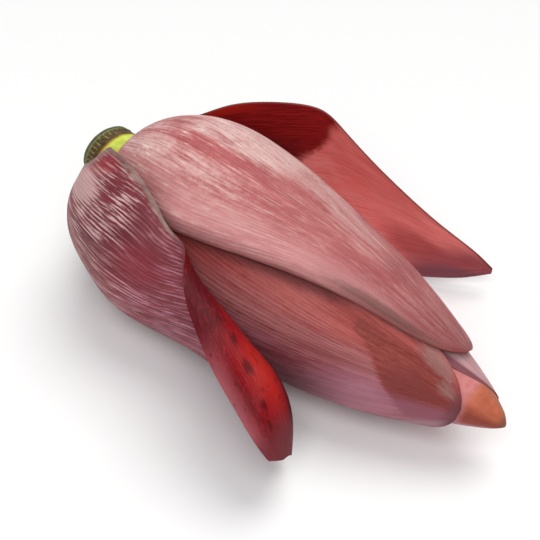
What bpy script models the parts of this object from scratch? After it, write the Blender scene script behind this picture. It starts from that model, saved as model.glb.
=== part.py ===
"""Banana blossom: a cut banana flower head lying on its side.

Metres, +Z up. The cut stem is at -X, the pointed tip at +X, and the head rests on z = 0. The origin is
on that plane, under the middle of the object's box.

The closed inner bud is a turned, egg-like form, and its outline is called the meridian. Three bracts
lie on it like tight leaves, one over the other. Two older bracts have come loose: the front one rolls
its upper margin outwards, and the back one stands off like a sail.

Each bract is a sheet with a place for every (across, along) pair. Across runs from one margin to the
other, and along runs from 0 at the stem to 1 at the apex. The sheets are laid out in the bud's own
frame: x along its axis towards the tip, p towards the front and q upwards. Angles are counted round
the axis from straight up, in degrees, and are positive towards the front.
"""

import math

import bmesh
import bpy
import numpy as np
from mathutils import Matrix, Vector

# The meridian of the inner bud: a blunt shoulder up to the belly, then a taper to the tip.
BUD_BASE_X = 0.0150
BELLY_X = 0.0850
TIP_X = 0.2515
BELLY_RADIUS = 0.0418
SHOULDER_POWER = 2.55
TAPER_SHAPE = 1.8
TAPER_POWER = 0.8

# The stem, cut off at a slant: its end is at STEM_END_X on the axis and longest at STEM_SLANT_ANGLE.
STEM_RADIUS = 0.0150
STEM_END_X = -0.0062
STEM_SLANT = 0.0032
STEM_SLANT_ANGLE = 75.0

# Bracts: how thick they are, and what share of it is left at a margin.
BRACT_THICKNESS = 0.0018
INNER_THICKNESS = 0.0014
MARGIN_SHARE = 0.5

# Bracts that lie on the inner bud. Each ends at an apex, a length along the meridian, and has a middle
# angle and a reach to either side at even steps up to it, in degrees. A lift is how far its outer face
# stands off the inner bud.
BLUNTNESS = 14
INNER_APEX = 0.2365
INNER_MIDDLE = [[-80.0], [-80.0]]
INNER_REACH = [[100.0], [100.0]]
INNER_LIFT = 0.0021

LOW_APEX = 0.2270
LOW_MIDDLE = [[92.0], [92.0], [88.0], [80.0], [66.0]]
LOW_REACH = [[100.0], [96.0], [90.0], [80.0], [72.0]]
LOW_LIFT = 0.0031
LOW_OVER_INNER = 0.0013
LOW_BELLY = 0.0035

TOP_APEX = 0.2125
TOP_MIDDLE = [[-35.0], [-35.0], [-33.0], [-28.0], [-25.0]]
TOP_REACH = [[95.0], [92.0], [72.0], [50.0], [46.0]]
TOP_LIFT = 0.0068
TOP_RISE = 0.0017
TOP_FALL = 0.0023
TOP_PUFF = 0.0012
TOP_MARGIN_DROP = 0.0008

# Free room between the stem and the inner bud, along the axis and round it.
ROOM = 0.0006
NECK_ROOM = 0.0012

# Share of the rows of faces that crowd towards the curved ends of a bract on the bud.
CROWDED = 0.65

# How the head lies. The bud's axis starts AXIS_HEIGHT up, dips towards the tip and sways a little
# sideways, by SWAY at even steps along it, towards SWAY_ANGLE.
AXIS_HEIGHT = 0.0572
DIP = math.radians(6.5)
SWAY = [[0.0], [0.0014], [-0.0010], [-0.0030], [-0.0010], [0.0]]
SWAY_ANGLE = math.radians(-51.0)

# The loose front bract ends bluntly too.
FRONT_BLUNTNESS = 26

# Even stations of the loose front bract, from the stem to the apex. Its wall is an arc from the lower
# margin to the crest, and its roll turns outwards from the crest.
# x, crest p and q, margin p and q, wall's bulge, roll's radius and turn (degrees), margin's x shift
FRONT_STATIONS = [
    (0.0060, 0.0067, 0.0150, 0.0080, -0.0144, 0.0082, 0.0060, 0, -0.0110),
    (0.0105, 0.0140, 0.0250, 0.0136, -0.0256, 0.0180, 0.0060, 0, -0.0075),
    (0.0200, 0.0235, 0.0385, 0.0200, -0.0410, 0.0300, 0.0060, 0, -0.0050),
    (0.0380, 0.0310, 0.0430, 0.0255, -0.0490, 0.0330, 0.0080, 0, -0.0015),
    (0.0580, 0.0370, 0.0410, 0.0310, -0.0508, 0.0310, 0.0090, 0, 0.0),
    (0.0800, 0.0445, 0.0325, 0.0370, -0.0465, 0.0230, 0.0090, 12, 0.0),
    (0.1010, 0.0530, 0.0220, 0.0425, -0.0340, 0.0130, 0.0100, 110, 0.0),
    (0.1220, 0.0538, 0.0143, 0.0460, -0.0265, 0.0080, 0.0125, 160, 0.0),
    (0.1420, 0.0557, 0.0095, 0.0510, -0.0255, 0.0055, 0.0137, 180, 0.0),
    (0.1600, 0.0590, 0.0086, 0.0560, -0.0245, 0.0040, 0.0143, 190, 0.0),
    (0.1760, 0.0652, 0.0022, 0.0632, -0.0265, 0.0025, 0.0126, 185, 0.0),
    (0.1860, 0.0748, -0.0162, 0.0742, -0.0260, 0.0006, 0.0052, 170, 0.0),
]

# Even stations of the loose back bract, whose sections are bowed outwards off a straight chord.
# x, upper margin p, upper margin q, lower margin p, lower margin q, bow
BACK_STATIONS = [
    (0.0055, -0.0142, 0.0082, -0.0082, -0.0142, 0.0045),
    (0.0060, -0.0255, 0.0138, -0.0145, -0.0250, 0.0080),
    (0.0160, -0.0410, 0.0155, -0.0220, -0.0390, 0.0130),
    (0.0340, -0.0500, 0.0245, -0.0280, -0.0460, 0.0150),
    (0.0570, -0.0600, 0.0350, -0.0360, -0.0495, 0.0160),
    (0.0780, -0.0690, 0.0405, -0.0470, -0.0472, 0.0155),
    (0.0930, -0.0730, 0.0345, -0.0530, -0.0455, 0.0140),
    (0.1120, -0.0765, 0.0225, -0.0610, -0.0438, 0.0120),
    (0.1330, -0.0815, 0.0090, -0.0700, -0.0410, 0.0095),
    (0.1560, -0.0870, -0.0040, -0.0800, -0.0360, 0.0060),
    (0.1740, -0.0920, -0.0130, -0.0890, -0.0310, 0.0030),
    (0.1860, -0.0970, -0.0215, -0.0975, -0.0255, 0.0005),
]


# ---------------------------------------------------------------- curves


def smooth_step(low, high, value):
    """0 below low, 1 above high and an S-shaped rise between them."""
    share = np.clip((value - low) / (high - low), 0.0, 1.0)
    return share * share * (3.0 - 2.0 * share)


def crowd(share, crowded):
    """Even shares from 0 to 1, moved towards both ends."""
    return (1.0 - crowded) * share + crowded * (1.0 - np.cos(math.pi * share)) / 2


def spline(stations, share):
    """Smooth values through evenly spaced stations (a natural cubic), at shares from 0 to 1."""
    knots = np.asarray(stations, float)
    count = len(knots)
    system = np.eye(count) * 4.0 + np.eye(count, k=1) + np.eye(count, k=-1)
    system[0] = np.eye(count)[0]
    system[-1] = np.eye(count)[-1]
    bend = np.zeros_like(knots)
    bend[1:-1] = 6.0 * (knots[2:] - 2.0 * knots[1:-1] + knots[:-2])
    bend = np.linalg.solve(system, bend)
    place = np.clip(np.asarray(share, float), 0.0, 1.0) * (count - 1)
    left = np.minimum(place.astype(int), count - 2)
    b = (place - left)[..., None]
    a = 1.0 - b
    curved = (a**3 - a) * bend[left] + (b**3 - b) * bend[left + 1]
    return a * knots[left] + b * knots[left + 1] + curved / 6.0


def meridian():
    """Dense x and radius of the inner bud's outline from stem to tip, and the length along it."""
    turn = np.linspace(0.0, math.pi / 2, 300)
    power = 2.0 / SHOULDER_POWER
    shoulder_x = BELLY_X - (BELLY_X - BUD_BASE_X) * np.cos(turn) ** power
    shoulder_r = BELLY_RADIUS * np.sin(turn) ** power
    kept = shoulder_r >= STEM_RADIUS + NECK_ROOM
    taper = np.sin(turn[1:])
    taper_x = BELLY_X + (TIP_X - BELLY_X) * taper
    taper_r = BELLY_RADIUS * (1.0 - taper**TAPER_SHAPE) ** TAPER_POWER
    x = np.concatenate([shoulder_x[kept], taper_x])
    r = np.concatenate([shoulder_r[kept], taper_r])
    length = np.concatenate([[0.0], np.cumsum(np.hypot(np.diff(x), np.diff(r)))])
    return x, r, length


MERIDIAN_X, MERIDIAN_R, MERIDIAN_LENGTH = meridian()


def on_meridian(length, lift):
    """x and radius at a length along the meridian, lifted off the bud by lift."""
    x = np.interp(length, MERIDIAN_LENGTH, MERIDIAN_X)
    r = np.interp(length, MERIDIAN_LENGTH, MERIDIAN_R)
    step = 0.0015
    ahead, behind = length + step, length - step
    dx = np.diff(np.interp([behind, ahead], MERIDIAN_LENGTH, MERIDIAN_X), axis=0)[0]
    dr = np.diff(np.interp([behind, ahead], MERIDIAN_LENGTH, MERIDIAN_R), axis=0)[0]
    size = np.hypot(dx, dr)
    return x - lift * dr / size, r + lift * dx / size


def round_axis(x, radius, angle):
    """Points (x, p, q) at an angle and radius round the bud's axis."""
    turn = np.radians(angle)
    return np.stack([x + 0.0 * turn, radius * np.sin(turn), radius * np.cos(turn)], -1)


def lay_down(points):
    """Points of the bud's frame as it lies: +X along the bud, +Z up, flat where it meets z = 0."""
    x, p, q = points[..., 0], points[..., 1], points[..., 2]
    sway = spline(SWAY, x / TIP_X)[..., 0]
    p = p + sway * math.sin(SWAY_ANGLE)
    q = q + sway * math.cos(SWAY_ANGLE)
    along = x * math.cos(DIP) + q * math.sin(DIP)
    height = AXIS_HEIGHT + q * math.cos(DIP) - x * math.sin(DIP)
    return np.stack([along, -p, np.maximum(height, 0.0)], -1)


# ---------------------------------------------------------------- bracts that lie on the bud


def wrapped(across, along, apex, middle, reach, lift):
    """A bract on the bud, from its apex, its middle angles, its reaches and a function for its lift."""
    half = spline(reach, along)[..., 0] * np.sqrt(1.0 - along**BLUNTNESS)
    angle = spline(middle, along)[..., 0] + across * half
    x, r = on_meridian(along * apex, lift(across, along, angle))
    return round_axis(x, r, angle)


def top_bract(across, along):
    """The top bract, whose front margin stands off the low bract as a lip."""

    def lift(across, along, angle):
        rise = TOP_RISE * smooth_step(0.0, 0.3, along) - TOP_FALL * smooth_step(0.72, 1.0, along)
        puff = TOP_PUFF * (1.0 - across**2) * np.sin(math.pi * along)
        drop = TOP_MARGIN_DROP * smooth_step(0.8, 1.0, np.abs(across))
        return TOP_LIFT + rise + puff - drop

    return wrapped(across, along, TOP_APEX, TOP_MIDDLE, TOP_REACH, lift)


def low_bract(across, along):
    """The low bract round the front and the underside, with a belly that the head rests on."""

    def lift(across, along, angle):
        over_inner = 1.0 - smooth_step(18.0, 34.0, angle) + smooth_step(150.0, 168.0, angle)
        belly = np.sin(math.pi * np.clip((angle - 35.0) / 125.0, 0.0, 1.0))
        belly = belly * smooth_step(0.0, 0.35, along) * (1.0 - 0.7 * smooth_step(0.75, 1.0, along))
        return LOW_LIFT + LOW_OVER_INNER * over_inner + LOW_BELLY * belly

    return wrapped(across, along, LOW_APEX, LOW_MIDDLE, LOW_REACH, lift)


def inner_bract(across, along):
    """The inner bract round the back, which shows at the tip between the top bract and the inner bud."""

    def lift(across, along, angle):
        return np.full_like(angle, INNER_LIFT)

    return wrapped(across, along, INNER_APEX, INNER_MIDDLE, INNER_REACH, lift)


# ---------------------------------------------------------------- loose bracts


def front_bract(across, along):
    """The loose front bract: across 0 is its lower margin and 1 the free edge of its roll."""
    values = spline(FRONT_STATIONS, along)
    x, top_p, top_q, low_p, low_q, bulge, roll, turn, shift = [values[..., i] for i in range(9)]
    turn = np.radians(np.maximum(turn, 0.0))
    chord = np.hypot(top_p - low_p, top_q - low_q)
    up_p, up_q = (top_p - low_p) / chord, (top_q - low_q) / chord
    out_p, out_q = up_q, -up_p
    radius = (chord**2 / 4 + bulge**2) / (2 * bulge)
    half = np.arcsin(np.clip(chord / 2 / radius, 0.0, 1.0))
    wall = 2 * half * radius
    narrowed = 0.5 + (across - 0.5) * np.sqrt(1.0 - along**FRONT_BLUNTNESS)
    travel = narrowed * (wall + roll * turn)
    # the wall: an arc whose chord runs from the lower margin to the crest
    swing = np.minimum(travel, wall) / radius - half
    rise, depth = radius * np.sin(swing), radius * (np.cos(swing) - 1.0) + bulge
    # the roll: an arc that leaves the wall at its tangent and turns the other way
    past = np.maximum(travel - wall, 0.0) / roll
    ahead, outward = roll * np.sin(past), roll * (1.0 - np.cos(past))
    rise = rise + ahead * np.cos(half) + outward * np.sin(half)
    depth = depth - ahead * np.sin(half) + outward * np.cos(half)
    p = (top_p + low_p) / 2 + rise * up_p + depth * out_p
    q = (top_q + low_q) / 2 + rise * up_q + depth * out_q
    return np.stack([x + shift * smooth_step(0.0, 0.75, 1.0 - across), p, q], -1)


def back_bract(across, along):
    """The loose back bract: across -1 is its lower margin and 1 its upper one."""
    values = spline(BACK_STATIONS, along)
    x, top_p, top_q, low_p, low_q, bow = [values[..., i] for i in range(6)]
    share = (across + 1.0) / 2
    chord_p, chord_q = top_p - low_p, top_q - low_q
    arch = 4.0 * share * (1.0 - share) * bow / np.hypot(chord_p, chord_q)
    p = low_p + share * chord_p - arch * chord_q
    q = low_q + share * chord_q + arch * chord_p
    return np.stack([x, p, q], -1)


# ---------------------------------------------------------------- solids


def finish(name, colour, roughness):
    """A plain material for one sub-part."""
    made = bpy.data.materials.new(name)
    made.use_nodes = True
    shader = made.node_tree.nodes["Principled BSDF"]
    shader.inputs["Base Color"].default_value = (*colour, 1.0)
    shader.inputs["Roughness"].default_value = roughness
    shader.inputs["Metallic"].default_value = 0.0
    return made


def face_outwards(mesh):
    """Turns the faces of a closed bmesh outwards."""
    bmesh.ops.recalc_face_normals(mesh, faces=mesh.faces)
    if mesh.calc_volume(signed=True) < 0.0:
        bmesh.ops.reverse_faces(mesh, faces=mesh.faces)


def add_object(name, mesh, material):
    """A scene object from a bmesh, which is freed."""
    data = bpy.data.meshes.new(name)
    mesh.to_mesh(data)
    mesh.free()
    data.materials.append(material)
    made = bpy.data.objects.new(name, data)
    bpy.context.scene.collection.objects.link(made)
    return made


def add_bract(name, surface, across_range, grid, thickness, side, crowded, material):
    """A bract: a grid laid on its surface function, then thickened, and thinner at its margins."""
    mesh = bmesh.new()
    bmesh.ops.create_grid(mesh, x_segments=grid[0], y_segments=grid[1], size=1.0)
    bmesh.ops.triangulate(mesh, faces=mesh.faces)
    flat = np.array([vert.co for vert in mesh.verts])
    share = (flat[:, 0] + 1.0) / 2
    across = across_range[0] + share * (across_range[1] - across_range[0])
    along = np.minimum(crowd((flat[:, 1] + 1.0) / 2, crowded), 0.9985)
    for vert, place in zip(mesh.verts, lay_down(surface(across, along))):
        vert.co = Vector(place)
    made = add_object(name, mesh, material)
    weight = smooth_step(0.0, 0.18, np.minimum(share, 1.0 - share))
    weight = weight * smooth_step(0.0, 0.08, 1.0 - along)
    group = made.vertex_groups.new(name="body")
    for index, value in enumerate(weight):
        group.add([index], float(value), "REPLACE")
    thick = made.modifiers.new("thickness", "SOLIDIFY")
    thick.thickness = thickness
    thick.offset = side
    thick.vertex_group = group.name
    thick.thickness_vertex_group = MARGIN_SHARE
    made.data.shade_smooth()
    return made


def add_inner_bud(rings, segments, material):
    """The closed inner bud: the meridian spun round its axis."""
    mesh = bmesh.new()
    x, r = on_meridian(crowd(np.linspace(0.0, 1.0, rings), CROWDED) * MERIDIAN_LENGTH[-1], 0.0)
    r[-1] = 0.0
    profile = [mesh.verts.new((x[0], 0.0, 0.0))]
    profile += [mesh.verts.new((at, 0.0, radius)) for at, radius in zip(x, r)]
    edges = [mesh.edges.new(pair) for pair in zip(profile, profile[1:])]
    centre, axis = (0.0, 0.0, 0.0), (1.0, 0.0, 0.0)
    whole = 2 * math.pi
    bmesh.ops.spin(mesh, geom=profile + edges, cent=centre, axis=axis, angle=whole, steps=segments)
    bmesh.ops.remove_doubles(mesh, verts=mesh.verts, dist=0.00001)
    for vert in mesh.verts:
        vert.co = Vector(lay_down(np.array(vert.co)))
    face_outwards(mesh)
    made = add_object("inner_bud", mesh, material)
    made.data.shade_smooth()
    return made


def add_stem(segments, material):
    """The cut stem: a short cylinder from its slanted end to the inner bud."""
    mesh = bmesh.new()
    bmesh.ops.create_cone(mesh, cap_ends=True, segments=segments, radius1=1.0, radius2=1.0, depth=2.0)
    root_x = BUD_BASE_X - ROOM
    for vert in mesh.verts:
        angle = math.degrees(math.atan2(vert.co.x, vert.co.y))
        slant = STEM_SLANT * math.cos(math.radians(angle - STEM_SLANT_ANGLE))
        x = root_x if vert.co.z > 0.0 else STEM_END_X - slant
        vert.co = Vector(lay_down(round_axis(np.array(x), STEM_RADIUS, angle)))
    face_outwards(mesh)
    made = add_object("peduncle", mesh, material)
    made.data.shade_smooth()
    made.data.set_sharp_from_angle(angle=math.radians(40.0))
    return made


def to_origin(pieces):
    """Moves the pieces so that the middle of their box in plan is on the origin."""
    bpy.context.view_layer.update()
    graph = bpy.context.evaluated_depsgraph_get()
    corners = np.array([corner for piece in pieces for corner in piece.evaluated_get(graph).bound_box])
    middle = (corners.min(0) + corners.max(0)) / 2
    for piece in pieces:
        piece.data.transform(Matrix.Translation((-middle[0], -middle[1], 0.0)))


def build():
    """Clears the scene and models every sub-part."""
    for old in list(bpy.data.objects):
        bpy.data.objects.remove(old)
    purple = finish("bract_outside", (0.30, 0.09, 0.13), 0.60)
    pale = finish("bract_bloom", (0.52, 0.27, 0.28), 0.60)
    rose = finish("bract_low_outside", (0.36, 0.11, 0.10), 0.55)
    red = finish("bract_inside", (0.36, 0.03, 0.03), 0.45)
    tip = finish("bud_tip", (0.45, 0.16, 0.10), 0.50)
    green = finish("stem_skin", (0.25, 0.28, 0.06), 0.65)
    both, roll = (-1.0, 1.0), (0.0, 1.0)
    to_origin([
        add_bract("bract_top", top_bract, both, (22, 20), BRACT_THICKNESS, -1.0, CROWDED, pale),
        add_bract("bract_low", low_bract, both, (22, 20), BRACT_THICKNESS, -1.0, CROWDED, rose),
        add_bract("bract_inner", inner_bract, both, (20, 18), INNER_THICKNESS, -1.0, CROWDED, pale),
        add_bract("bract_front", front_bract, roll, (28, 26), BRACT_THICKNESS, 0.0, 0.0, purple),
        add_bract("bract_back", back_bract, both, (16, 22), BRACT_THICKNESS, -1.0, 0.0, red),
        add_inner_bud(22, 28, tip),
        add_stem(32, green),
    ])


build()
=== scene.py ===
# %% [markdown]
# # A banana blossom
#
# A banana blossom is the flower head of a banana plant, sold cut from its stalk as a vegetable. It is a
# tight, pointed bud of waxy leaves, called bracts. This one lies on its side. Three bracts still hug the
# bud, and two older ones have come loose: the one in front has rolled its upper margin outwards, and the
# one behind stands off like a sail.
#
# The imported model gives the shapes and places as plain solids. This lesson builds the same sheets again,
# much finer, with veins, rounded margins and worn wax.

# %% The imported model
import math

import bpy
import numpy as np
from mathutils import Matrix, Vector


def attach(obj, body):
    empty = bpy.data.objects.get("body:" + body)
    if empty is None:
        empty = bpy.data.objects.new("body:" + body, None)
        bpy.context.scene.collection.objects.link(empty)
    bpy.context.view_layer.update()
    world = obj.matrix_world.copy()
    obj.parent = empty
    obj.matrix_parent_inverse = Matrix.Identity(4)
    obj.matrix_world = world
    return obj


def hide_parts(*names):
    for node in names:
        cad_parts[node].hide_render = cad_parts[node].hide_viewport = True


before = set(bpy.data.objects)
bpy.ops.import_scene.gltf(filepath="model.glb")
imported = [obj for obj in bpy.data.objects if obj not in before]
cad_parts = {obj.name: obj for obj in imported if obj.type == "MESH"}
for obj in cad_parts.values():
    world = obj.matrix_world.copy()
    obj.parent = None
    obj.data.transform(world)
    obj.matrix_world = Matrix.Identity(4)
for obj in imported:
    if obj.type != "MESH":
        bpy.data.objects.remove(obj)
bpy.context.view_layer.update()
print("solids:", ", ".join(sorted(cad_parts)))

# %% [markdown]
# ## The camera, the floor and the light
#
# The head lies on a pale floor. Fresh bracts are matt with a soft sheen, so the light is soft and broad:
# a Sun lamp from above and a little behind, a weaker area lamp in front, and a pale world that fills the
# shadows. A Sun's angle is what sets how soft its shadows are, so it is opened wide. The world is brighter
# low down, near the horizon, so that the floor's far end hardly shows.

# %% Camera, floor and light
CAMERA_AZIMUTH = math.radians(40.0)
CAMERA_ELEVATION = math.radians(45.0)
CAMERA_DISTANCE = 0.6447
CAMERA_TARGET = Vector((-0.0120, -0.0029, 0.0405))
LENS, SENSOR = 85.0, 36.0
SUN_SPREAD = math.radians(42.0)
FRONT_LAMP_SIZE = 0.7
FLOOR_SIZE = 60.0


def aim(thing, place, target):
    """Puts a camera or lamp at a place and turns it towards a target."""
    thing.location = place
    thing.rotation_euler = (target - place).to_track_quat("-Z", "Y").to_euler()


def add_lamp(kind, name, place, target, power, colour):
    """A lamp at a place, aimed at a target. Returns its settings."""
    bpy.ops.object.light_add(type=kind)
    lamp = bpy.context.object
    lamp.name = name
    lamp.data.energy = power
    lamp.data.color = colour
    aim(lamp, Vector(place), Vector(target))
    return lamp.data


away = Vector((
    math.sin(CAMERA_AZIMUTH) * math.cos(CAMERA_ELEVATION),
    -math.cos(CAMERA_AZIMUTH) * math.cos(CAMERA_ELEVATION),
    math.sin(CAMERA_ELEVATION),
))
bpy.ops.object.camera_add()
camera = bpy.context.object
camera.name = "camera"
camera.data.lens = LENS
camera.data.sensor_width = SENSOR
aim(camera, CAMERA_TARGET + away * CAMERA_DISTANCE, CAMERA_TARGET)
bpy.context.scene.camera = camera
bpy.context.scene.view_settings.view_transform = "Standard"

overhead = add_lamp("SUN", "lamp_overhead", (0.0, 0.42, 1.0), (0.0, 0.0, 0.0), 1.5, (1.0, 0.985, 0.96))
overhead.angle = SUN_SPREAD
front_lamp = add_lamp("AREA", "lamp_front", (0.45, -0.60, 1.15), (0.0, 0.0, 0.04), 7.5, (0.98, 0.99, 1.0))
front_lamp.size = FRONT_LAMP_SIZE

world = bpy.data.worlds.new("pale_room")
bpy.context.scene.world = world
world.use_nodes = True
room = world.node_tree.nodes
room["Background"].inputs["Color"].default_value = (0.96, 0.97, 1.0, 1.0)
# the strength falls as a direction leaves the horizon
direction, parts, size, rise = [
    room.new("ShaderNode" + kind) for kind in ("TexCoord", "SeparateXYZ", "Math", "MapRange")
]
size.operation = "ABSOLUTE"
for name, value in (("From Min", 0.03), ("From Max", 0.20), ("To Min", 0.78), ("To Max", 0.45)):
    rise.inputs[name].default_value = value
for start, end in (
    (direction.outputs[0], parts.inputs[0]),
    (parts.outputs["Z"], size.inputs[0]),
    (size.outputs[0], rise.inputs["Value"]),
    (rise.outputs[0], room["Background"].inputs["Strength"]),
):
    world.node_tree.links.new(start, end)

bpy.ops.mesh.primitive_plane_add(size=FLOOR_SIZE)
floor = bpy.context.object
floor.name = "floor"
print("camera", [round(at, 3) for at in camera.location])

# %% [markdown]
# ## Finishes as expressions
#
# A bract's colour is built up the way a plant lays it down: pigment, then veins, then a coat of wax that
# wears off in streaks. Each layer is a mask over the surface. Written as node links that soon gets hard
# to read, so a small class wraps a node's socket and lets Python's own operators add the Math nodes.

# %% A socket that can be calculated with
class Socket:
    """An output in a finish's node tree. Arithmetic on it adds Math nodes."""

    def __init__(self, finish, output):
        self.finish = finish
        self.output = output

    def maths(self, operation, first, second=0.0):
        return self.finish.node("Math", {"operation": operation}, {0: first, 1: second})

    def __add__(self, other):
        return self.maths("ADD", self, other)

    def __sub__(self, other):
        return self.maths("SUBTRACT", self, other)

    def __rsub__(self, other):
        return self.maths("SUBTRACT", other, self)

    def __mul__(self, other):
        return self.maths("MULTIPLY", self, other)

    def __truediv__(self, other):
        return self.maths("DIVIDE", self, other)

    def __pow__(self, other):
        return self.maths("POWER", self, other)

    def either(self, other):
        """The larger of two values."""
        return self.maths("MAXIMUM", self, other)

    def size(self):
        return self.maths("ABSOLUTE", self)

    def sine(self):
        return self.maths("SINE", self)

    __radd__ = __add__
    __rmul__ = __mul__


SHEEN = 0.28


class Finish:
    """A material, and the few kinds of node that these finishes are made of."""

    def __init__(self, name):
        self.material = bpy.data.materials.new(name)
        self.material.use_nodes = True
        self.tree = self.material.node_tree
        self.shader = self.tree.nodes["Principled BSDF"]

    def feed(self, socket, value):
        if isinstance(value, Socket):
            self.tree.links.new(value.output, socket)
        else:
            socket.default_value = value

    def node(self, kind, settings, inputs, output=0):
        """Adds a node: its settings first, then its sockets' values or links."""
        made = self.tree.nodes.new("ShaderNode" + kind)
        for name, value in settings.items():
            setattr(made, name, value)
        for key, value in inputs.items():
            self.feed(made.inputs[key], value)
        return Socket(self, made.outputs[output])

    def step(self, value, low, high):
        """0 below low, 1 above high and an S-shaped rise between, or a fall where low is above high."""
        return self.node(
            "MapRange", {"interpolation_type": "SMOOTHSTEP"},
            {"Value": value, "From Min": low, "From Max": high},
        )

    def mix(self, mask, first, second):
        """The first colour where the mask is 0 and the second where it is 1."""
        return self.node("Mix", {"data_type": "RGBA"}, {0: mask, 6: first, 7: second}, 2)

    def sheet(self):
        """Centimetres across and along a piece, from its own UV map."""
        place = self.node("UVMap", {"uv_map": "sheet"}, {})
        return (
            self.node("SeparateXYZ", {}, {0: place}, 0),
            self.node("SeparateXYZ", {}, {0: place}, 1),
        )

    def noise(self, x, y, seed, detail, rough=0.5):
        """Cloudy noise round 0.5 that has features about one unit of x and y wide."""
        place = self.node("CombineXYZ", {}, {0: x, 1: y, 2: seed})
        settings = {"noise_dimensions": "3D"}
        inputs = {"Vector": place, "Scale": 1.0, "Detail": detail, "Roughness": rough}
        return self.node("TexNoise", settings, inputs)

    def speckle(self, size, seed, detail):
        """Noise in the object's own space, with grains of a size in metres."""
        place = self.node("TexCoord", {}, {}, 3)
        moved = self.node("VectorMath", {"operation": "ADD"}, {0: place, 1: (seed, 0.0, 0.0)})
        inputs = {"Vector": moved, "Scale": 1.0 / size, "Detail": detail}
        return self.node("TexNoise", {}, inputs)

    def set(self, sheen=SHEEN, **values):
        """Sets the shader's gloss, and its sockets by name, such as Base_Color."""
        self.shader.inputs["Specular IOR Level"].default_value = sheen
        for name, value in values.items():
            self.feed(self.shader.inputs[name.replace("_", " ")], value)
        print("finish", self.material.name, len(self.tree.nodes), "nodes")
        return self.material


def tint(red, green, blue):
    """A colour from its everyday 0 to 255 values."""
    share = [value / 255.0 for value in (red, green, blue)]
    return tuple([c / 12.92 if c < 0.04045 else ((c + 0.055) / 1.055) ** 2.4 for c in share] + [1.0])


floor.data.materials.append(Finish("pale_floor").set(Base_Color=tint(244, 244, 243), Roughness=0.9))

# %% [markdown]
# ## The bud's own frame
#
# Every sheet is laid out round the bud's axis, where a bract is simple: x runs along the axis, p towards
# the front and q upwards, and angles are counted from straight up, positive towards the front. The values
# are those of the solids. Only at the end are the points laid down, as the head lies on the floor.

# %% The meridian of the bud, and how it lies
BUD_BASE_X, BELLY_X, TIP_X = 0.0150, 0.0850, 0.2515
BELLY_RADIUS = 0.0418
SHOULDER_POWER, TAPER_SHAPE, TAPER_POWER = 2.55, 1.8, 0.8
STEM_RADIUS = 0.0150
STEM_END_X, STEM_SLANT, STEM_SLANT_ANGLE = -0.0062, 0.0032, 75.0
ROOM, NECK_ROOM = 0.0006, 0.0012
AXIS_HEIGHT = 0.0572
DIP = math.radians(6.5)
SWAY = [[0.0], [0.0014], [-0.0010], [-0.0030], [-0.0010], [0.0]]
SWAY_ANGLE = math.radians(-51.0)


def smooth_step(low, high, value):
    """0 below low, 1 above high and an S-shaped rise between them."""
    share = np.clip((value - low) / (high - low), 0.0, 1.0)
    return share * share * (3.0 - 2.0 * share)


def crowd(share, crowded):
    """Even shares from 0 to 1, moved towards both ends."""
    return (1.0 - crowded) * share + crowded * (1.0 - np.cos(math.pi * share)) / 2


def spline(stations, share):
    """Smooth values through evenly spaced stations (a natural cubic), at shares from 0 to 1."""
    knots = np.asarray(stations, float)
    count = len(knots)
    system = np.eye(count) * 4.0 + np.eye(count, k=1) + np.eye(count, k=-1)
    system[0] = np.eye(count)[0]
    system[-1] = np.eye(count)[-1]
    bend = np.zeros_like(knots)
    bend[1:-1] = 6.0 * (knots[2:] - 2.0 * knots[1:-1] + knots[:-2])
    bend = np.linalg.solve(system, bend)
    place = np.clip(np.asarray(share, float), 0.0, 1.0) * (count - 1)
    left = np.minimum(place.astype(int), count - 2)
    b = (place - left)[..., None]
    a = 1.0 - b
    curved = (a**3 - a) * bend[left] + (b**3 - b) * bend[left + 1]
    return a * knots[left] + b * knots[left + 1] + curved / 6.0


def meridian():
    """Dense x and radius of the inner bud's outline from stem to tip, and the length along it."""
    turn = np.linspace(0.0, math.pi / 2, 300)
    power = 2.0 / SHOULDER_POWER
    shoulder_x = BELLY_X - (BELLY_X - BUD_BASE_X) * np.cos(turn) ** power
    shoulder_r = BELLY_RADIUS * np.sin(turn) ** power
    kept = shoulder_r >= STEM_RADIUS + NECK_ROOM
    taper = np.sin(turn[1:])
    taper_x = BELLY_X + (TIP_X - BELLY_X) * taper
    taper_r = BELLY_RADIUS * (1.0 - taper**TAPER_SHAPE) ** TAPER_POWER
    x = np.concatenate([shoulder_x[kept], taper_x])
    r = np.concatenate([shoulder_r[kept], taper_r])
    length = np.concatenate([[0.0], np.cumsum(np.hypot(np.diff(x), np.diff(r)))])
    return x, r, length


MERIDIAN_X, MERIDIAN_R, MERIDIAN_LENGTH = meridian()


def on_meridian(length, lift):
    """x and radius at a length along the meridian, lifted off the bud by lift."""
    x = np.interp(length, MERIDIAN_LENGTH, MERIDIAN_X)
    r = np.interp(length, MERIDIAN_LENGTH, MERIDIAN_R)
    step = 0.0015
    ahead, behind = length + step, length - step
    dx = np.interp(ahead, MERIDIAN_LENGTH, MERIDIAN_X) - np.interp(behind, MERIDIAN_LENGTH, MERIDIAN_X)
    dr = np.interp(ahead, MERIDIAN_LENGTH, MERIDIAN_R) - np.interp(behind, MERIDIAN_LENGTH, MERIDIAN_R)
    size = np.hypot(dx, dr)
    return x - lift * dr / size, r + lift * dx / size


def round_axis(x, radius, angle):
    """Points (x, p, q) at an angle and radius round the bud's axis."""
    turn = np.radians(angle)
    return np.stack([x + 0.0 * turn, radius * np.sin(turn), radius * np.cos(turn)], -1)


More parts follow.
